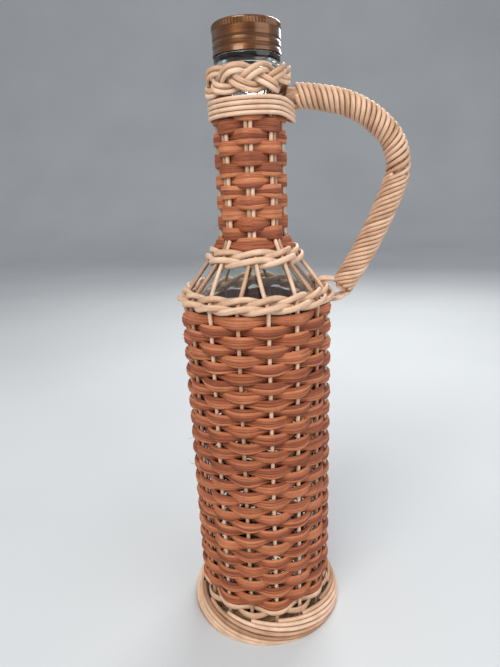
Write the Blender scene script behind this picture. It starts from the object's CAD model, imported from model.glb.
"""Wicker-covered bottle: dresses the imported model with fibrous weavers, reeds, glass and metal.

Sizes are in millimetres, as in the part's source, and turn to metres where a mesh is made.
Directions round the bottle are turned from -Y (0) towards +X (90), where the handle is.
"""

import math
from typing import NamedTuple

import bpy
import numpy as np
from mathutils import Matrix, Vector


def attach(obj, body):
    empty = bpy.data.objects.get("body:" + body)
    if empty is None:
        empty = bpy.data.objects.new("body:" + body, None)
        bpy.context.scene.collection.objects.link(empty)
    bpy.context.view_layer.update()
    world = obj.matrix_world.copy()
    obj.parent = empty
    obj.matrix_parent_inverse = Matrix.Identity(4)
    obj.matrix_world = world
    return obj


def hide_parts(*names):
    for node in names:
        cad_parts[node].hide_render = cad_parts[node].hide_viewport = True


bl_info = {
    "name": "Wicker bottle dressing",
    "version": (1, 0, 0),
    "blender": (4, 5, 0),
    "location": "View3D > Sidebar > Wicker",
    "description": "Weavers, reeds, glass and cap of a wicker-covered bottle",
    "category": "Object",
}

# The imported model, which every piece is made for
bpy.ops.wm.read_factory_settings(use_empty=True)
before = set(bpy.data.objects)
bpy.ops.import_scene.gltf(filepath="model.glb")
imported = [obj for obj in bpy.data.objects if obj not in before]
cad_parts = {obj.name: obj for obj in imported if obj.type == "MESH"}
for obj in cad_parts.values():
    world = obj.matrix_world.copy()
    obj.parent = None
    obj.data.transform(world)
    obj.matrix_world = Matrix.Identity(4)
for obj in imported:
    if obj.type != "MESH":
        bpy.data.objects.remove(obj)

MM = 0.001

# Random draws start afresh for each kind of piece
SEED = 7
SEED_OF = {
    "body": 0,
    "neck": 10,
    "rand": 20,
    "stakes": 30,
    "bands": 41,
    "plait": 50,
    "wrap": 60,
    "border": 70,
    "fibres": 80,
}

# Camera, fitted to the photograph: its place, turns and focal length in pixels
CAMERA_MM = (12.19, -259.99, 236.05)
CAMERA_YAW = -3.515
CAMERA_PITCH = 16.038
CAMERA_ROLL = -2.369
FOCAL_PX = 514.34
IMAGE_H_PX = 667
SENSOR_MM = 36.0
CLIP_START_M = 0.01

# Stakes. A knot of their middle line is a height, a radius and, where they stand in pairs, the
# gap in a pair.
STAKES = 16
STEP = 360.0 / STAKES
STAKE_D = 2.0
STAKE_KNOTS = (
    (2.2, 34.37, None),
    (178.3, 35.96, None),
    (182.04, 37.26, None),
    (203.74, 20.3, 0.4),
    (212.14, 15.3, 0.08),
    (274.0, 15.3, 0.08),
)
CREST_Z, CREST_X, _ = STAKE_KNOTS[2]
STAKE_POINTS, STAKE_SMOOTHING = 180, 5
STAKE_FILL, STAKE_WAVER, STAKE_WAVER_Z = 0.97, 0.02, 9
STAKE_TONES = (0.2, 1)
RISE_SPAN = 0.8

# Woven rows: heights, count, swing past the stakes, thickness and points round the bottle
BODY_LOW, BODY_TOP, BODY_ROWS = 16.2, 178.3, 36
BODY_SWING, BODY_THICK, BODY_POINTS = 2.0, 1.8, 128
NECK_LOW, NECK_TOP, NECK_ROWS = 206.9, 273.95, 14
NECK_SWING, NECK_THICK, NECK_POINTS = 1.7, 1.15, 96
RAND_LOW, RAND_H, RAND_ROWS, RAND_FILL = 11.3, 2.45, 2, 0.9

# Strands of a row, as shares of their spacing or of the row's thickness
STRAND_SPREAD, STRAND_WIDTH, STRAND_CROWN = 0.2, 1.6, 0.1
RISE_WANDER, DEPTH_WANDER = 0.035, 0.04
SWING_RANGE, WIDTH_RANGE, THICK_RANGE = (0.94, 1.0), (0.94, 1.08), (0.8, 0.95)
WEAVER_TONES = (0.25, 0.85)

# Twined bands: place, height, gap to the stakes, waves round the bottle, direction of a crest
TWINE_POINTS = 24
TWINE_TONES = (0.4, 0.9)
BANDS = (
    ("shoulder", "lower", 182.14, 0.35, STAKES // 2, STEP / 2),
    ("shoulder", "upper", 185.34, 0.35, STAKES // 2, STEP / 2),
    ("neck", "lower", 201.24, 0.3, STAKES // 4, 0.0),
    ("neck", "upper", 204.74, 0.3, STAKES // 4, 0.0),
)

# Collar: a plait and the binding below it, which both give way to the handle's tongue
TONGUE_AZ = 24
PLAIT_W, PLAIT_T, PLAIT_H = 2.3, 1.45, 13.2
PLAIT_LOW, PLAIT_INNER_R = 274.3, 14.75
PLAIT_LAYERS = 2.7 * PLAIT_T
PLAIT_R = PLAIT_INNER_R + (PLAIT_LAYERS + PLAIT_T) / 2
PLAIT_STRANDS, PLAIT_WAVES, PLAIT_POINTS = 3, 3, 144
PLAIT_EDGE, PLAIT_GAP = 2.2 * PLAIT_W, 0.2
PLAIT_SQUEEZE, PLAIT_LIFT = 1.5, 3.2
PLAIT_TONES = (0.3, 1)
BINDING_PITCH, BINDING_TURNS = 2.12, 4
BINDING_R, BINDING_LOW, BINDING_FROM = 18.45, 265.57, 180
BINDING_DIP, BINDING_BULGE, BINDING_FLATNESS = 3.2, 2.6, 1.12
BINDING_POINTS, BINDING_TONE = 72, 0.8

# Handle: radius and sweep of each arc of its middle line, which starts at x, z and a heading
HANDLE_AZ = 90
HANDLE_ARCS = ((130.0, 9.0), (47.5, 36.4), (23.7, 61.4), (207.0, 15.8))
HANDLE_START = (17.7, 275.3, -2.3)

# Wrap of the handle. Its lead per turn and its sets of reeds go by the length along the handle.
WRAP_R, WRAP_REEDS = 4.85, 5
WRAP_FROM, WRAP_END_GAP, SECOND_FROM = 4.2, 1.2, 72.0
WRAP_LEADS = ((0, 13.2), (62, 13.2), (80, 27.0), (200, 27.0))
WRAP_SETS = ((0, 1), (62, 1), (SECOND_FROM, 2), (200, 2))
WRAP_RINGS, WRAP_FLATNESS = 24, 1.05
WRAP_TONES = (0.35, 0.9)

# Tie of the handle's lower end: a loop round the crest, whose half on the +Y side is given
LASHING_TONE, LASHING_STEPS = 0.7, 6
LASHING_MID_Z = 3
LASHING_OUTER = (10.3, 0, -0.2)
LASHING_INNER = (3.55, 0, 6.5)
LASHING_HALF = (
    (8.2, 2.2, -0.6),
    (5.7, 5.0, -1.6),
    (1.8, 4.2, -2.72),
    (-1.2, 2.4, -2.78),
    (-2.9, 1.5, -1.4),
    (-4.6, 1.4, 1.4),
    (-5.8, 1.5, 4.5),
    (-4.4, 1.8, 6.9),
    (-1.1, 2.4, 7.4),
    (2.2, 1.9, 7.0),
)

# Foot border: every stake's end rolls out and down, past BORDER_PAST other stakes
BORDER_R, BORDER_H, BORDER_D, BORDER_PAST = 42.8, 10.9, 2.0, 5
BORDER_GAP = 0.4
BORDER_INNER_R = STAKE_KNOTS[0][1] + STAKE_D / 2 + BORDER_D / 2 + BORDER_GAP
BORDER_LOW, BORDER_TAIL = 0.55, 0.8
BORDER_EASE, BORDER_LEAN, BORDER_FLATNESS = 0.3, 0.15, 1.05
BORDER_POINTS = 60
BORDER_TONES = (0, 1)

# Stray fibres: none of them starts at the open shoulder
FIBRE_Z, OPEN_Z = (25, 265), (180, 208)
FIBRE_REACH, FIBRE_DROP, FIBRE_DRIFT = (1.5, 5), (-5, 4), (-9, 9)
FIBRE_START, FIBRE_CURL, FIBRE_POINTS = 1.6, 2.2, 10
FIBRE_TAPER = 1.1
FIBRE_TONES = (0.3, 1)

# Looks. Streaks is how many times a metre the grain changes across a reed.
TONE_SHIFT, TONE_WEIGHT, TONE_MIDDLE = 7.3, 0.55, 0.27
WHITE = (1.0, 1.0, 1.0)
REED_LOOKS = {
    "light_reed": {"streaks": 3000.0, "depth": 0.00025, "roughness": 0.5},
    "red_reed": {"streaks": 5200.0, "depth": 0.0004, "roughness": 0.6},
}
CANE_ROUGHNESS = 0.55

# Sockets of the Mix node that belong to its colours
MIX_FACTOR, MIX_A, MIX_B, MIX_RESULT = 0, 6, 7, 2

# Stage, in metres: a floor that sweeps up at the back, and lights aimed at the bottle
FLOOR_HALF, FLOOR_BACK, SWEEP_R, SWEEP_STEPS = 3.0, 1.6, 0.9, 12
FLOOR_ROUGHNESS = 0.8
LIGHTS_AIM = (0, 0, 0.15)
LIGHTS = (
    # name, place, size, colour
    ("key", (-0.35, -0.75, 0.9), 0.6, (1.0, 0.97, 0.92)),
    ("fill", (0.75, -0.45, 0.5), 0.8, (0.95, 0.97, 1.0)),
    ("rim", (0.2, 0.7, 0.7), 0.5, WHITE),
)


# Settings


def count(name, description, default, least, most):
    """A number of things that the user can change."""
    return bpy.props.IntProperty(
        name=name, description=description, default=default, min=least, max=most
    )


def length(name, description, default_mm):
    """A length that the user can change, kept in metres."""
    return bpy.props.FloatProperty(
        name=name, description=description, default=default_mm * MM, min=0.0, precision=4,
        unit="LENGTH",
    )


def colour(name, description, default):
    """A colour that the user can change."""
    return bpy.props.FloatVectorProperty(
        name=name, description=description, default=default, min=0.0, max=1.0, subtype="COLOR"
    )


def power(name, description, default_w):
    """A light's power that the user can change."""
    return bpy.props.FloatProperty(
        name=name, description=description, default=default_w, min=0.0, unit="POWER"
    )


class WickerSizes(bpy.types.PropertyGroup):
    """Numbers and sizes of the reeds."""

    body_strands: count(
        "Strands in a body row", "Strands that lie side by side in a row of the body", 4, 2, 4
    )
    neck_strands: count(
        "Strands in a neck row", "Strands that lie side by side in a row of the neck", 3, 2, 4
    )
    fibres: count(
        "Stray fibres", "Places drawn for a split fibre; the open shoulder has none", 26, 0, 200
    )
    fibre_d: length("Stray fibre", "Diameter of a stray fibre where it starts", 0.2)
    twine_w: length("Band reed width", "Width of the reeds of the twined bands", 3.0)
    twine_t: length("Band reed thickness", "Thickness of the reeds of the twined bands", 1.8)
    binding_d: length("Binding reed", "Thickness of the reed wound below the plait", 1.7)
    wrap_d: length("Wrap reed", "Thickness of the reeds wound round the handle", 2.0)
    lashing_d: length("Tie reed", "Thickness of the reed that ties the handle's lower end", 1.9)
    wrap_fill: bpy.props.FloatProperty(
        name="Cover of the wrap",
        description="Width of the handle's reeds as a share of the room that each has",
        default=0.96,
        min=0.8,
        max=1.0,
        subtype="FACTOR",
    )


class WickerColours(bpy.types.PropertyGroup):
    """Colours of the reeds, the cap, the liner and the glass."""

    light_reed_dark: colour("Light reed, dark", "Dark grain of light reed", (0.36, 0.18, 0.095))
    light_reed_mid: colour("Light reed", "Main colour of light reed", (0.63, 0.39, 0.245))
    light_reed_pale: colour("Light reed, pale", "Pale grain of light reed", (0.8, 0.56, 0.4))
    red_reed_dark: colour("Red reed, dark", "Dark grain of a weaver", (0.13, 0.024, 0.006))
    red_reed_mid: colour("Red reed", "Main colour of a weaver", (0.36, 0.09, 0.028))
    red_reed_pale: colour("Red reed, pale", "Pale grain of a weaver", (0.6, 0.22, 0.095))
    core_cane_dark: colour("Core, dark", "Dark grain of the handle's core", (0.42, 0.22, 0.12))
    core_cane_pale: colour("Core, pale", "Pale grain of the handle's core", (0.68, 0.43, 0.27))
    base_cane_dark: colour("Base, dark", "Dark grain of the woven base", (0.36, 0.18, 0.09))
    base_cane_pale: colour("Base, pale", "Pale grain of the woven base", (0.6, 0.36, 0.2))
    lacquer_dark: colour("Lacquer, dark", "Dark lines of the cap", (0.075, 0.023, 0.002))
    lacquer_pale: colour("Lacquer, pale", "Pale lines of the cap", (0.19, 0.07, 0.011))
    liner_dark: colour("Liner, dark", "Dark cells of the sealing disc", (0.6, 0.58, 0.52))
    liner_pale: colour("Liner, pale", "Pale cells of the sealing disc", (0.75, 0.73, 0.68))
    glass: colour("Glass", "Tint of the glass", (0.93, 0.97, 0.95))


class WickerStage(bpy.types.PropertyGroup):
    """Floor, surroundings and lights."""

    floor_dark: colour("Floor, dark", "Darker patches of the floor", (0.5, 0.52, 0.53))
    floor_pale: colour("Floor, pale", "Paler patches of the floor", (0.55, 0.57, 0.58))
    world: colour("Surroundings", "Colour of the light from all round", (0.93, 0.95, 1.0))
    world_strength: bpy.props.FloatProperty(
        name="Strength of the surroundings",
        description="Strength of the light from all round",
        default=0.55,
        min=0.0,
    )
    key_power: power("Key light", "Power of the light from the left front", 9.0)
    fill_power: power("Fill light", "Power of the light from the right front", 4.0)
    rim_power: power("Rim light", "Power of the light from behind", 6.0)


SETTINGS = {
    "wicker_sizes": WickerSizes,
    "wicker_colours": WickerColours,
    "wicker_stage": WickerStage,
}


def mm(metres):
    """A length setting in millimetres, without the rounding of the float that holds it."""
    return round(metres / MM, 4)


# Places and directions


def draws(kind, which=0):
    """The random generator of one kind of piece."""
    return np.random.default_rng(SEED + SEED_OF[kind] + which)


def at(r, z, az):
    """Points at radius r, height z and direction az, in degrees."""
    a = np.radians(az)
    r, z, a = np.broadcast_arrays(np.asarray(r, float), np.asarray(z, float), a)
    return np.stack([r * np.sin(a), -r * np.cos(a), z], axis=-1)


def unit(v):
    """Vectors scaled to length 1."""
    return v / np.maximum(np.linalg.norm(v, axis=-1, keepdims=True), 1e-12)


def read_off(table, s):
    """Value at s of a table of (place, value) pairs."""
    return np.interp(s, *zip(*table))


def stake_r(z):
    """Radius of the stakes' middle line at height z."""
    heights, radii, _ = zip(*STAKE_KNOTS)
    return np.interp(z, heights, radii)


def stake_rise(z):
    """Direction up the stakes at height z, as (outward, up)."""
    widening = stake_r(z + RISE_SPAN / 2) - stake_r(z - RISE_SPAN / 2)
    return unit(np.array([widening, RISE_SPAN]))


def stake_az(k):
    """Direction of stake k where the stakes stand evenly."""
    return (k + 0.5) * STEP


def knot_az(k, r, gap):
    """Direction of stake k at a knot: drawn to the other stake of its pair if a gap is stated."""
    if gap is None:
        return stake_az(k)
    pair = round(stake_az(k) / (2 * STEP)) * 2 * STEP
    side = -1 if stake_az(k) < pair else 1
    return pair + side * math.degrees(math.asin((STAKE_D + gap) / 2 / r))


def at_tongue(az):
    """1 over the middle of the handle's tongue, fading to 0 beside it."""
    turned = (np.asarray(az, float) - HANDLE_AZ + 180) % 360 - 180
    return np.exp(-((turned / TONGUE_AZ) ** 2))


def wander(rng, az, size, terms=5):
    """A smooth random curve round the bottle, about size high."""
    a = np.radians(az)
    total = np.zeros_like(a)
    for n in range(1, terms + 1):
        total += rng.normal() / n * np.cos(n * 2 * a + rng.uniform(0, 2 * math.pi))
    return size * total


class Bundle:
    """Collects reeds into one mesh, with a UV map in metres and a tone for each reed."""

    def __init__(self):
        self.verts, self.faces, self.uvs, self.tones = [], [], [], []
        self.count = 0

    def reed(self, route, out, width, height, tone, sides=8, closed=False):
        """A reed along route. out points away from what it lies on."""
        p = np.asarray(route, float)
        n = len(p)
        if closed:
            t = unit(np.roll(p, -1, 0) - np.roll(p, 1, 0))
        else:
            t = unit(np.gradient(p, axis=0))
        out = np.broadcast_to(np.asarray(out, float), p.shape)
        normal = unit(out - np.sum(out * t, -1, keepdims=True) * t)
        side = np.cross(t, normal)
        a = 2 * np.pi * (np.arange(sides) + 0.5) / sides
        w = np.broadcast_to(width, n)[:, None, None] / 2
        h = np.broadcast_to(height, n)[:, None, None] / 2
        ring = (
            p[:, None]
            + normal[:, None] * h * np.cos(a)[None, :, None]
            + side[:, None] * w * np.sin(a)[None, :, None]
        )
        self.verts.append(ring.reshape(-1, 3) * MM)
        steps = np.linalg.norm(np.roll(p, -1, 0) - p, axis=1)
        along = np.concatenate([[0], np.cumsum(steps)])
        girth = (np.mean(width) + np.mean(height)) * np.pi / 2
        shift = tone * TONE_SHIFT
        base = self.count
        for i in range(n if closed else n - 1):
            j = (i + 1) % n
            u0, u1 = along[i] + shift, along[i + 1] + shift
            for k in range(sides):
                m = (k + 1) % sides
                here, there = base + i * sides, base + j * sides
                self.faces.append((here + k, here + m, there + m, there + k))
                v0, v1 = girth * k / sides, girth * (k + 1) / sides
                self.uvs += [(u0, v0), (u0, v1), (u1, v1), (u1, v0)]
        if not closed:
            for ring_i, order in ((0, range(sides - 1, -1, -1)), (n - 1, range(sides))):
                self.faces.append(tuple(base + ring_i * sides + k for k in order))
                self.uvs += [(along[ring_i], 0.0)] * sides
        self.tones.append(np.full(n * sides, tone))
        self.count += n * sides

    def build(self, name, material, floor=None):
        """The object made of all the reeds, kept above floor where that is stated."""
        verts = np.concatenate(self.verts)
        if floor is not None:
            verts[:, 2] = np.maximum(verts[:, 2], floor * MM)
        mesh = bpy.data.meshes.new(name)
        mesh.from_pydata(verts.tolist(), [], self.faces)
        uv = mesh.uv_layers.new(name="UVMap")
        uv.data.foreach_set("uv", (np.array(self.uvs, float) * MM).ravel())
        tone = mesh.attributes.new("tone", "FLOAT", "POINT")
        tone.data.foreach_set("value", np.concatenate(self.tones).astype(np.float32))
        mesh.shade_smooth()
        mesh.materials.append(material)
        mesh.update()
        obj = bpy.data.objects.new(name, mesh)
        bpy.context.scene.collection.objects.link(obj)
        return obj


# Materials


def new_material(name):
    material = bpy.data.materials.new(name)
    material.use_nodes = True
    tree = material.node_tree
    return material, tree, tree.nodes["Principled BSDF"]


def ramp(tree, source, stops):
    node = tree.nodes.new("ShaderNodeValToRGB")
    node.color_ramp.elements.remove(node.color_ramp.elements[1])
    for i, (place, colour) in enumerate(stops):
        element = node.color_ramp.elements[0] if i == 0 else node.color_ramp.elements.new(place)
        element.position = place
        element.color = (*colour, 1)
    tree.links.new(source, node.inputs["Fac"])
    return node.outputs["Color"]


def noise(tree, vector, scale, detail=3.0, rough=0.6):
    node = tree.nodes.new("ShaderNodeTexNoise")
    node.inputs["Scale"].default_value = scale
    node.inputs["Detail"].default_value = detail
    node.inputs["Roughness"].default_value = rough
    tree.links.new(vector, node.inputs["Vector"])
    return node.outputs["Fac"]


def multiplied(tree, factor, a, b):
    node = tree.nodes.new("ShaderNodeMix")
    node.data_type = "RGBA"
    node.blend_type = "MULTIPLY"
    node.inputs[MIX_FACTOR].default_value = factor
    tree.links.new(a, node.inputs[MIX_A])
    tree.links.new(b, node.inputs[MIX_B])
    return node.outputs[MIX_RESULT]


def bump(tree, shader, height, strength, distance):
    node = tree.nodes.new("ShaderNodeBump")
    node.inputs["Strength"].default_value = strength
    node.inputs["Distance"].default_value = distance
    tree.links.new(height, node.inputs["Height"])
    tree.links.new(node.outputs["Normal"], shader.inputs["Normal"])


def places(tree):
    """Coordinates of a point of the surface, by their kind."""
    return tree.nodes.new("ShaderNodeTexCoord").outputs


def stretched(tree, vector, scale):
    node = tree.nodes.new("ShaderNodeMapping")
    node.inputs["Scale"].default_value = scale
    tree.links.new(vector, node.inputs["Vector"])
    return node.outputs["Vector"]


def calculated(tree, operation, value, first, last=None):
    """A Math node on first, a fixed value and, where the operation has three terms, last."""
    node = tree.nodes.new("ShaderNodeMath")
    node.operation = operation
    node.inputs[1].default_value = value
    tree.links.new(first, node.inputs[0])
    if last is not None:
        tree.links.new(last, node.inputs[2])
    return node.outputs[0]


def reed_material(slot):
    """Split reed: long grain on the UV map, a tone for each reed, and blotches of wear."""
    name = f"{slot}_grain"
    if name in bpy.data.materials:
        return bpy.data.materials[name]
    look = REED_LOOKS[slot]
    colours = bpy.context.scene.wicker_colours
    material, tree, shader = new_material(name)
    place = places(tree)
    along = stretched(tree, place["UV"], (60.0, look["streaks"], 1.0))
    grain = noise(tree, along, scale=1.0, detail=4.0, rough=0.65)
    blotch = noise(tree, place["Object"], scale=130.0)
    tone = tree.nodes.new("ShaderNodeAttribute")
    tone.attribute_name = "tone"
    total = calculated(tree, "MULTIPLY_ADD", TONE_WEIGHT, tone.outputs["Fac"], grain)
    centred = calculated(tree, "SUBTRACT", TONE_MIDDLE, total)
    stops = [
        (stop, getattr(colours, f"{slot}_{shade}"))
        for stop, shade in ((0.3, "dark"), (0.5, "mid"), (0.72, "pale"))
    ]
    shade = ramp(tree, centred, stops)
    wear = ramp(tree, blotch, ((0.3, (0.72, 0.66, 0.6)), (0.6, WHITE)))
    tree.links.new(multiplied(tree, 0.8, shade, wear), shader.inputs["Base Color"])
    shader.inputs["Roughness"].default_value = look["roughness"]
    bump(tree, shader, grain, strength=0.7, distance=look["depth"])
    return material


def cane_material(name):
    """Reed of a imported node, whose grain is read from its place."""
    colours = bpy.context.scene.wicker_colours
    dark, pale = getattr(colours, f"{name}_dark"), getattr(colours, f"{name}_pale")
    material, tree, shader = new_material(name)
    grain = noise(tree, places(tree)["Object"], scale=900.0, detail=4.0)
    shade = ramp(tree, grain, ((0.35, dark), (0.65, pale)))
    tree.links.new(shade, shader.inputs["Base Color"])
    shader.inputs["Roughness"].default_value = CANE_ROUGHNESS
    bump(tree, shader, grain, strength=0.5, distance=0.0002)
    return material


def glass_material():
    """Clear glass with a faint ripple."""
    material, tree, shader = new_material("clear_glass")
    tint = bpy.context.scene.wicker_colours.glass
    shader.inputs["Base Color"].default_value = (*tint, 1)
    shader.inputs["Transmission Weight"].default_value = 1.0
    shader.inputs["IOR"].default_value = 1.5
    shader.inputs["Roughness"].default_value = 0.03
    ripple = noise(tree, places(tree)["Object"], scale=70.0, detail=2.0, rough=0.5)
    bump(tree, shader, ripple, strength=0.15, distance=0.0004)
    return material


def cap_material():
    """Bronze-brown lacquer on brushed metal, with duller and darker patches."""
    material, tree, shader = new_material("cap_lacquer")
    place = places(tree)["Object"]
    lines = noise(tree, stretched(tree, place, (90.0, 90.0, 2600.0)), scale=1.0)
    patch = noise(tree, place, scale=160.0, detail=4.0, rough=0.65)
    colours = bpy.context.scene.wicker_colours
    lacquer = ramp(tree, lines, ((0.3, colours.lacquer_dark), (0.7, colours.lacquer_pale)))
    worn = ramp(tree, patch, ((0.35, (0.7, 0.6, 0.5)), (0.62, WHITE)))
    tree.links.new(multiplied(tree, 0.7, lacquer, worn), shader.inputs["Base Color"])
    shader.inputs["Metallic"].default_value = 0.75
    shader.inputs["Coat Weight"].default_value = 0.6
    shader.inputs["Coat Roughness"].default_value = 0.12
    rough = tree.nodes.new("ShaderNodeMapRange")
    rough.inputs["To Min"].default_value = 0.22
    rough.inputs["To Max"].default_value = 0.46
    tree.links.new(patch, rough.inputs["Value"])
    tree.links.new(rough.outputs["Result"], shader.inputs["Roughness"])
    bump(tree, shader, patch, strength=0.25, distance=0.0003)
    return material


def liner_material():
    """Pale foam of the sealing disc."""
    material, tree, shader = new_material("liner_foam")
    cells = noise(tree, places(tree)["Object"], scale=2500.0)
    colours = bpy.context.scene.wicker_colours
    shade = ramp(tree, cells, ((0.3, colours.liner_dark), (0.7, colours.liner_pale)))
    tree.links.new(shade, shader.inputs["Base Color"])
    shader.inputs["Roughness"].default_value = 0.7
    bump(tree, shader, cells, strength=0.3, distance=0.0001)
    return material


def dress(piece, body, slot, *nodes):
    """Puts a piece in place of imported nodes, with its material slot and its body."""
    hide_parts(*nodes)
    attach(piece, body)


# Woven rows


class Row(NamedTuple):
    """A woven row: its radius and height, how it weaves, and its points round the bottle."""

    r: float
    z: float
    height: float
    swing: float
    thick: float
    waves: int
    first_az: float
    points: int
    lean: float = 0.0


def weave(bundle, rng, row, strands):
    """Adds a row's strands, which spread where they pass in front of a stake."""
    az = np.arange(row.points) * 360.0 / row.points
    front = np.cos(np.radians(row.waves * (az - row.first_az)))
    spacing = row.height / strands
    for strand in range(strands):
        place = strand - (strands - 1) / 2
        spread = 1.0 + STRAND_SPREAD * front
        rise = row.z + place * spacing * spread + wander(rng, az, RISE_WANDER * row.height)
        radius = row.r + row.lean * place * spacing + row.swing * front * rng.uniform(*SWING_RANGE)
        radius = radius + wander(rng, az, DEPTH_WANDER * row.thick)
        radius = radius - place * place * STRAND_CROWN * row.thick
        wide = spacing * (STRAND_WIDTH + STRAND_SPREAD * front) * rng.uniform(*WIDTH_RANGE)
        tall = row.thick * rng.uniform(*THICK_RANGE)
        tone = rng.uniform(*WEAVER_TONES)
        bundle.reed(at(radius, rise, az), at(1.0, 0.0, az), wide, tall, tone, closed=True)


def build_body_weave(material, strands):
    pitch = (BODY_TOP - BODY_LOW) / BODY_ROWS
    for which, letter in enumerate("ab"):
        rng = draws("body", which)
        bundle = Bundle()
        for i in range(which, BODY_ROWS, 2):
            z = BODY_LOW + (i + 0.5) * pitch
            row = Row(
                stake_r(z), z, pitch, BODY_SWING, BODY_THICK,
                STAKES // 2, stake_az(which), BODY_POINTS,
            )
            weave(bundle, rng, row, strands)
        piece = bundle.build(f"body_weave_{letter}", material)
        dress(piece, "bottle", "red_reed", f"body_weaver_{letter}")


def build_neck_weave(material, strands):
    pitch = (NECK_TOP - NECK_LOW) / NECK_ROWS
    for which, letter in enumerate("ab"):
        rng = draws("neck", which)
        bundle = Bundle()
        for i in range(which, NECK_ROWS, 2):
            z = NECK_LOW + (i + 0.5) * pitch
            lean = (stake_r(z + 1) - stake_r(z - 1)) / 2
            row = Row(
                stake_r(z), z, pitch, NECK_SWING, NECK_THICK,
                STAKES // 4, which * 2 * STEP, NECK_POINTS, lean,
            )
            weave(bundle, rng, row, strands)
        piece = bundle.build(f"neck_weave_{letter}", material)
        dress(piece, "bottle", "red_reed", f"neck_weaver_{letter}")


def build_rand(material):
    """The two light rows between the foot border and the body's rows."""
    for which, letter in enumerate("ab"):
        rng = draws("rand", which)
        bundle = Bundle()
        for i in range(which, RAND_ROWS, 2):
            z = RAND_LOW + (i + 0.5) * RAND_H
            row = Row(
                stake_r(z), z, RAND_H * RAND_FILL, BODY_SWING, BODY_THICK,
                STAKES // 2, stake_az(1 - which), BODY_POINTS,
            )
            weave(bundle, rng, row, 1)
        piece = bundle.build(f"foot_row_{letter}", material)
        dress(piece, "bottle", "light_reed", f"foot_rand_{letter}")


# Stakes, bands and collar


def build_stakes(material):
    rng = draws("stakes")
    heights = [z for z, _, _ in STAKE_KNOTS]
    z = np.linspace(heights[0], heights[-1], STAKE_POINTS)
    padded = np.pad(stake_r(z), STAKE_SMOOTHING // 2, mode="edge")
    smooth = np.convolve(padded, np.ones(STAKE_SMOOTHING) / STAKE_SMOOTHING, "valid")
    for k in range(STAKES):
        az = np.interp(z, heights, [knot_az(k, r, gap) for _, r, gap in STAKE_KNOTS])
        size = STAKE_D * (STAKE_FILL + STAKE_WAVER * np.sin(z / STAKE_WAVER_Z + k))
        tone = rng.uniform(*STAKE_TONES)
        bundle = Bundle()
        bundle.reed(at(smooth, z, az), at(1.0, 0.0, az), size, size, tone, sides=10)
        piece = bundle.build(f"reed_stake_{k + 1:02d}", material)
        dress(piece, "bottle", "light_reed", f"stake_{k + 1:02d}")


def build_bands(material, width, thick):
    """Each band is two reeds twined round each other, one in front of a stake and one behind."""
    for i, (place, level, z, gap, waves, first_az) in enumerate(BANDS):
        rng = draws("bands", i)
        up_out, up_z = stake_rise(z)
        reach = STAKE_D / 2 + gap + thick / 2
        points = waves * TWINE_POINTS
        bundle = Bundle()
        for side in (1, -1):
            az = np.arange(points) * 360.0 / points
            phase = np.radians(waves * (az - first_az))
            away, along = reach * np.cos(phase), width / 3 * np.sin(phase)
            r = stake_r(z) + side * (up_z * away + up_out * along)
            height = z + side * (-up_out * away + up_z * along)
            route, out, tone = at(r, height, az), at(1.0, 0.0, az), rng.uniform(*TWINE_TONES)
            bundle.reed(route, out, width, thick, tone, sides=10, closed=True)
        piece = bundle.build(f"{place}_twine_{level}", material)
        dress(piece, "bottle", "light_reed", f"{place}_band_{level}")


def build_plait(material):
    rng = draws("plait")
    az = np.arange(PLAIT_POINTS) * 360.0 / PLAIT_POINTS
    squeeze = at_tongue(az)
    half = (PLAIT_H - PLAIT_EDGE) / 2 - PLAIT_SQUEEZE * squeeze
    for strand in range(PLAIT_STRANDS):
        bundle = Bundle()
        phase = np.radians(PLAIT_WAVES * az + 360 / PLAIT_STRANDS * strand)
        slope = half * PLAIT_WAVES / PLAIT_R * np.cos(phase)
        along = unit(np.stack([np.ones_like(slope), slope], -1))
        r = PLAIT_R + PLAIT_LAYERS / 2 * np.sin(2 * phase)
        z = PLAIT_LOW + PLAIT_H / 2 + PLAIT_LIFT * squeeze + half * np.sin(phase)
        for side in (-1, 1):
            shift = side * (PLAIT_W + PLAIT_GAP) / 2
            turned = az - np.degrees(shift * along[:, 1] / r)
            route, out = at(r, z + shift * along[:, 0], turned), at(1.0, 0.0, turned)
            tone = rng.uniform(*PLAIT_TONES)
            bundle.reed(route, out, PLAIT_W, PLAIT_T, tone, sides=10, closed=True)
        piece = bundle.build(f"collar_plait_{strand + 1}", material)
        dress(piece, "bottle", "light_reed", f"collar_strand_{strand + 1}")


def build_binding(material, thick):
    turn = np.arange(BINDING_TURNS * BINDING_POINTS + 1) / BINDING_POINTS
    az = BINDING_FROM + 360 * turn
    near = at_tongue(az)
    r = BINDING_R + BINDING_BULGE * near
    z = BINDING_LOW + BINDING_PITCH * turn - BINDING_DIP * near
    width = thick * BINDING_FLATNESS
    bundle = Bundle()
    bundle.reed(at(r, z, az), at(1.0, 0.0, az), width, thick, BINDING_TONE, sides=10)
    piece = bundle.build("collar_lashing", material)
    dress(piece, "bottle", "light_reed", "collar_binding")


# Handle


def handle_at(s):
    """Place on the handle's middle line after a length s, as x, z and heading."""
    x, z, heading = HANDLE_START
    for i, (r, sweep) in enumerate(HANDLE_ARCS):
        length = math.radians(sweep) * r
        turn = min(s, length) if i < len(HANDLE_ARCS) - 1 else s
        h = math.radians(heading)
        cx, cz = x + r * math.sin(h), z - r * math.cos(h)
        heading -= math.degrees(turn / r)
        h = math.radians(heading + 90)
        x, z = cx + r * math.cos(h), cz + r * math.sin(h)
        s -= turn
        if s <= 0:
            break
    return x, z, heading


def handle_length():
    return sum(math.radians(sweep) * r for r, sweep in HANDLE_ARCS)


def wrap_steps():
    """Lengths along the handle, with the turn that the wrap has made there."""
    s, turn = WRAP_FROM, 0.0
    while s <= handle_length() - WRAP_END_GAP:
        yield s, turn
        turn += 360 / WRAP_RINGS
        s += float(read_off(WRAP_LEADS, s)) / WRAP_RINGS


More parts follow.
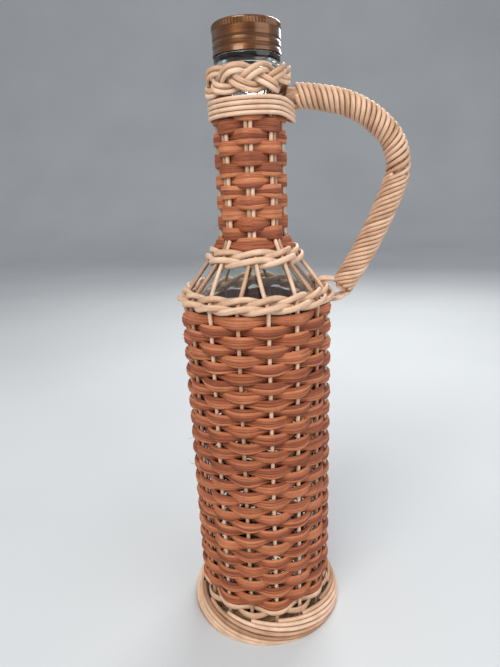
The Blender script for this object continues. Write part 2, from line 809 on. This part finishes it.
def build_wrap(material, thick, fill):
    """Reeds wound side by side round the core, with a second set between them further down."""
    rng = draws("wrap")
    steps = list(wrap_steps())
    bundle = Bundle()
    for i in range(WRAP_REEDS):
        for first, start in ((i, WRAP_FROM), (i + 0.5, SECOND_FROM)):
            route, outs, widths = [], [], []
            for s, turn in steps:
                if s < start:
                    continue
                x, z, heading = handle_at(s)
                h, a = math.radians(heading), math.radians(360 * first / WRAP_REEDS - turn)
                across = math.sin(a)
                out = np.array([-math.sin(h) * across, -math.cos(a), math.cos(h) * across])
                route.append(np.array([x, 0, z]) + WRAP_R * out)
                outs.append(out)
                reeds = WRAP_REEDS * read_off(WRAP_SETS, s)
                lead = read_off(WRAP_LEADS, s)
                lay = math.atan2(lead, 2 * math.pi * WRAP_R)
                widths.append(min(thick * WRAP_FLATNESS, lead / reeds * math.cos(lay) * fill))
            tone = rng.uniform(*WRAP_TONES)
            bundle.reed(route, outs, np.array(widths), thick, tone, sides=10)
    piece = bundle.build("handle_reeds", material)
    dress(piece, "bottle", "light_reed", "handle_wrap")


def smooth_loop(points, steps):
    """A closed curve through points, each of its pieces a cubic set by four of them."""
    p = np.array(points, float)
    a, c, d = np.roll(p, 1, 0), np.roll(p, -1, 0), np.roll(p, -2, 0)
    rows = []
    for i in range(len(p)):
        for t in np.arange(steps) / steps:
            rows.append(
                p[i]
                + ((c[i] - a[i]) * t + (2 * a[i] - 5 * p[i] + 4 * c[i] - d[i]) * t**2
                   + (3 * p[i] - a[i] - 3 * c[i] + d[i]) * t**3) / 2
            )
    return np.array(rows)


def build_lashing(material, thick):
    mirrored = [(x, -y, z) for x, y, z in reversed(LASHING_HALF)]
    loop = [LASHING_OUTER, *LASHING_HALF, LASHING_INNER, *mirrored]
    route = smooth_loop(loop, LASHING_STEPS) + np.array([CREST_X, 0, CREST_Z])
    out = route - np.array([CREST_X, 0, CREST_Z + LASHING_MID_Z])
    bundle = Bundle()
    bundle.reed(route, out, thick, thick, LASHING_TONE, closed=True)
    piece = bundle.build("handle_tie", material)
    dress(piece, "bottle", "light_reed", "handle_lashing")


# Foot


def build_border(material):
    rng = draws("border")
    bundle = Bundle()
    mid_out = BORDER_R - BORDER_D / 2
    top = BORDER_H - BORDER_D / 2
    for k in range(STAKES):
        u = np.linspace(0, 1 + BORDER_TAIL / BORDER_PAST, BORDER_POINTS)
        way = np.minimum(u, 1)
        eased = (1 + BORDER_EASE) * way - BORDER_EASE * way**2
        sink = np.radians(90 * np.minimum(1, eased))
        r = BORDER_INNER_R + (mid_out - BORDER_INNER_R) * np.sin(sink)
        z = BORDER_LOW + (top - BORDER_LOW) * np.cos(sink)
        az = stake_az(k) + STEP * BORDER_PAST * u
        out = at(np.sin(sink) + BORDER_LEAN, np.cos(sink), az)
        tone = rng.uniform(*BORDER_TONES)
        bundle.reed(at(r, z, az), out, BORDER_D * BORDER_FLATNESS, BORDER_D, tone, sides=12)
    piece = bundle.build("foot_roll", material, floor=0.0)
    dress(piece, "bottle", "light_reed", "foot_border")


# Stray fibres


def build_fibres(material, thick, number):
    """Fine fibres that have split off the weavers and curl away from them."""
    rng = draws("fibres")
    bundle = Bundle()
    t = np.linspace(0, 1, FIBRE_POINTS)
    for _ in range(number):
        z0, az0 = rng.uniform(*FIBRE_Z), rng.uniform(0, 360)
        if OPEN_Z[0] < z0 < OPEN_Z[1]:
            continue
        start_r = float(stake_r(z0)) + FIBRE_START
        reach, drop = rng.uniform(*FIBRE_REACH), rng.uniform(*FIBRE_DROP)
        drift = rng.uniform(*FIBRE_DRIFT)
        r = start_r + reach * np.sin(FIBRE_CURL * t)
        route = at(r, z0 + drop * t * t, az0 + drift * t)
        size = thick * (FIBRE_TAPER - t)
        bundle.reed(route, at(1.0, 0.0, az0), size, size, rng.uniform(*FIBRE_TONES), sides=5)
    piece = bundle.build("stray_fibres", material)
    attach(piece, "bottle")


# Stage


def build_floor(settings):
    profile = [(-FLOOR_HALF, 0.0), (FLOOR_BACK, 0.0)]
    for i in range(1, SWEEP_STEPS + 1):
        a = math.radians(90 * i / SWEEP_STEPS)
        profile.append((FLOOR_BACK + SWEEP_R * math.sin(a), SWEEP_R * (1 - math.cos(a))))
    profile.append((FLOOR_BACK + SWEEP_R, FLOOR_HALF))
    verts = [(x, y, z) for y, z in profile for x in (-FLOOR_HALF, FLOOR_HALF)]
    faces = [(2 * i, 2 * i + 1, 2 * i + 3, 2 * i + 2) for i in range(len(profile) - 1)]
    mesh = bpy.data.meshes.new("floor")
    mesh.from_pydata(verts, [], faces)
    mesh.shade_smooth()
    floor = bpy.data.objects.new("floor", mesh)
    bpy.context.scene.collection.objects.link(floor)
    material, tree, shader = new_material("floor_pale")
    patches = noise(tree, places(tree)["Object"], scale=3.0, detail=2.0, rough=0.5)
    shade = ramp(tree, patches, ((0.3, settings.floor_dark), (0.7, settings.floor_pale)))
    tree.links.new(shade, shader.inputs["Base Color"])
    shader.inputs["Roughness"].default_value = FLOOR_ROUGHNESS
    mesh.materials.append(material)


def build_lights(settings):
    world = bpy.data.worlds.new("studio")
    world.use_nodes = True
    background = world.node_tree.nodes["Background"]
    background.inputs["Color"].default_value = (*settings.world, 1)
    background.inputs["Strength"].default_value = settings.world_strength
    bpy.context.scene.world = world
    for name, place, size, tint in LIGHTS:
        data = bpy.data.lights.new(name, "AREA")
        data.size, data.color = size, tint
        data.energy = getattr(settings, f"{name}_power")
        light = bpy.data.objects.new(name, data)
        light.location = place
        aim = Vector(LIGHTS_AIM) - light.location
        light.rotation_euler = aim.to_track_quat("-Z", "Y").to_euler()
        bpy.context.scene.collection.objects.link(light)


def build_camera():
    yaw, pitch, roll = (math.radians(a) for a in (CAMERA_YAW, CAMERA_PITCH, CAMERA_ROLL))
    level = math.cos(pitch)
    forward = Vector((math.sin(yaw) * level, math.cos(yaw) * level, -math.sin(pitch)))
    right = Vector((math.cos(yaw), -math.sin(yaw), 0))
    up = right.cross(forward)
    right_r = right * math.cos(roll) + up * math.sin(roll)
    up_r = up * math.cos(roll) - right * math.sin(roll)
    data = bpy.data.cameras.new("camera")
    data.sensor_width = SENSOR_MM
    data.sensor_fit = "AUTO"
    data.lens = FOCAL_PX / IMAGE_H_PX * SENSOR_MM
    data.clip_start = CLIP_START_M
    camera = bpy.data.objects.new("camera", data)
    bpy.context.scene.collection.objects.link(camera)
    turn = Matrix((right_r, up_r, -forward)).transposed().to_4x4()
    camera.matrix_world = Matrix.Translation(Vector(CAMERA_MM) * MM) @ turn
    bpy.context.scene.camera = camera


def dress_nodes(nodes):
    """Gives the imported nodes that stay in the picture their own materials."""
    fixed = {
        "glass_bottle": glass_material(),
        "screw_cap": cap_material(),
        "cap_liner": liner_material(),
        "handle_core": cane_material("core_cane"),
        "base_sticks": cane_material("base_cane"),
    }
    fixed["base_weave"] = fixed["base_sticks"]
    for name, material in fixed.items():
        nodes[name].data.materials.clear()
        nodes[name].data.materials.append(material)


# Operators


class WICKER_OT_solids(bpy.types.Operator):
    """Give the glass, the cap, its liner, the handle's core and the woven base their materials"""

    bl_idname = "wicker.solids"
    bl_label = "Solid pieces"

    def execute(self, context):
        dress_nodes(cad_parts)
        return {"FINISHED"}


class WICKER_OT_stage(bpy.types.Operator):
    """Build the camera, the floor and the lights"""

    bl_idname = "wicker.stage"
    bl_label = "Stage"

    def execute(self, context):
        build_camera()
        build_floor(context.scene.wicker_stage)
        build_lights(context.scene.wicker_stage)
        return {"FINISHED"}


class WICKER_OT_rows(bpy.types.Operator):
    """Build the woven rows of the body, the neck and the foot"""

    bl_idname = "wicker.rows"
    bl_label = "Woven rows"

    def execute(self, context):
        sizes = context.scene.wicker_sizes
        build_body_weave(reed_material("red_reed"), sizes.body_strands)
        build_neck_weave(reed_material("red_reed"), sizes.neck_strands)
        build_rand(reed_material("light_reed"))
        return {"FINISHED"}


class WICKER_OT_fibres(bpy.types.Operator):
    """Build the stray fibres of the weave"""

    bl_idname = "wicker.fibres"
    bl_label = "Stray fibres"

    def execute(self, context):
        sizes = context.scene.wicker_sizes
        build_fibres(reed_material("red_reed"), mm(sizes.fibre_d), sizes.fibres)
        return {"FINISHED"}


class WICKER_OT_stakes(bpy.types.Operator):
    """Build the upright stakes"""

    bl_idname = "wicker.stakes"
    bl_label = "Stakes"

    def execute(self, context):
        build_stakes(reed_material("light_reed"))
        return {"FINISHED"}


class WICKER_OT_bands(bpy.types.Operator):
    """Build the twined bands of the shoulder and the neck"""

    bl_idname = "wicker.bands"
    bl_label = "Twined bands"

    def execute(self, context):
        sizes = context.scene.wicker_sizes
        build_bands(reed_material("light_reed"), mm(sizes.twine_w), mm(sizes.twine_t))
        return {"FINISHED"}


class WICKER_OT_border(bpy.types.Operator):
    """Build the rolled foot border"""

    bl_idname = "wicker.border"
    bl_label = "Foot border"

    def execute(self, context):
        build_border(reed_material("light_reed"))
        return {"FINISHED"}


class WICKER_OT_collar(bpy.types.Operator):
    """Build the plaited collar and its binding"""

    bl_idname = "wicker.collar"
    bl_label = "Collar"

    def execute(self, context):
        build_plait(reed_material("light_reed"))
        build_binding(reed_material("light_reed"), mm(context.scene.wicker_sizes.binding_d))
        return {"FINISHED"}


class WICKER_OT_handle(bpy.types.Operator):
    """Build the reeds wound round the handle and the tie at its lower end"""

    bl_idname = "wicker.handle"
    bl_label = "Handle"

    def execute(self, context):
        sizes = context.scene.wicker_sizes
        build_wrap(reed_material("light_reed"), mm(sizes.wrap_d), sizes.wrap_fill)
        build_lashing(reed_material("light_reed"), mm(sizes.lashing_d))
        return {"FINISHED"}


OPERATORS = (
    WICKER_OT_solids,
    WICKER_OT_stage,
    WICKER_OT_rows,
    WICKER_OT_fibres,
    WICKER_OT_stakes,
    WICKER_OT_bands,
    WICKER_OT_border,
    WICKER_OT_collar,
    WICKER_OT_handle,
)


class WICKER_PT_panel(bpy.types.Panel):
    """Settings and steps of the dressing"""

    bl_label = "Wicker bottle"
    bl_idname = "WICKER_PT_panel"
    bl_space_type = "VIEW_3D"
    bl_region_type = "UI"
    bl_category = "Wicker"

    def draw(self, context):
        for group, cls in SETTINGS.items():
            for name in cls.__annotations__:
                self.layout.prop(getattr(context.scene, group), name)
        for operator in OPERATORS:
            self.layout.operator(operator.bl_idname)


CLASSES = (*SETTINGS.values(), *OPERATORS, WICKER_PT_panel)


def register():
    for cls in CLASSES:
        bpy.utils.register_class(cls)
    for group, cls in SETTINGS.items():
        setattr(bpy.types.Scene, group, bpy.props.PointerProperty(type=cls))


def unregister():
    for group in SETTINGS:
        delattr(bpy.types.Scene, group)
    for cls in reversed(CLASSES):
        bpy.utils.unregister_class(cls)


def main():
    register()
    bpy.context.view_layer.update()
    bpy.context.scene.view_settings.view_transform = "Standard"
    bpy.ops.wicker.solids()
    bpy.ops.wicker.stage()
    bpy.ops.wicker.rows()
    bpy.ops.wicker.fibres()
    bpy.ops.wicker.stakes()
    bpy.ops.wicker.bands()
    bpy.ops.wicker.border()
    bpy.ops.wicker.collar()
    bpy.ops.wicker.handle()


if __name__ == "__main__":
    main()
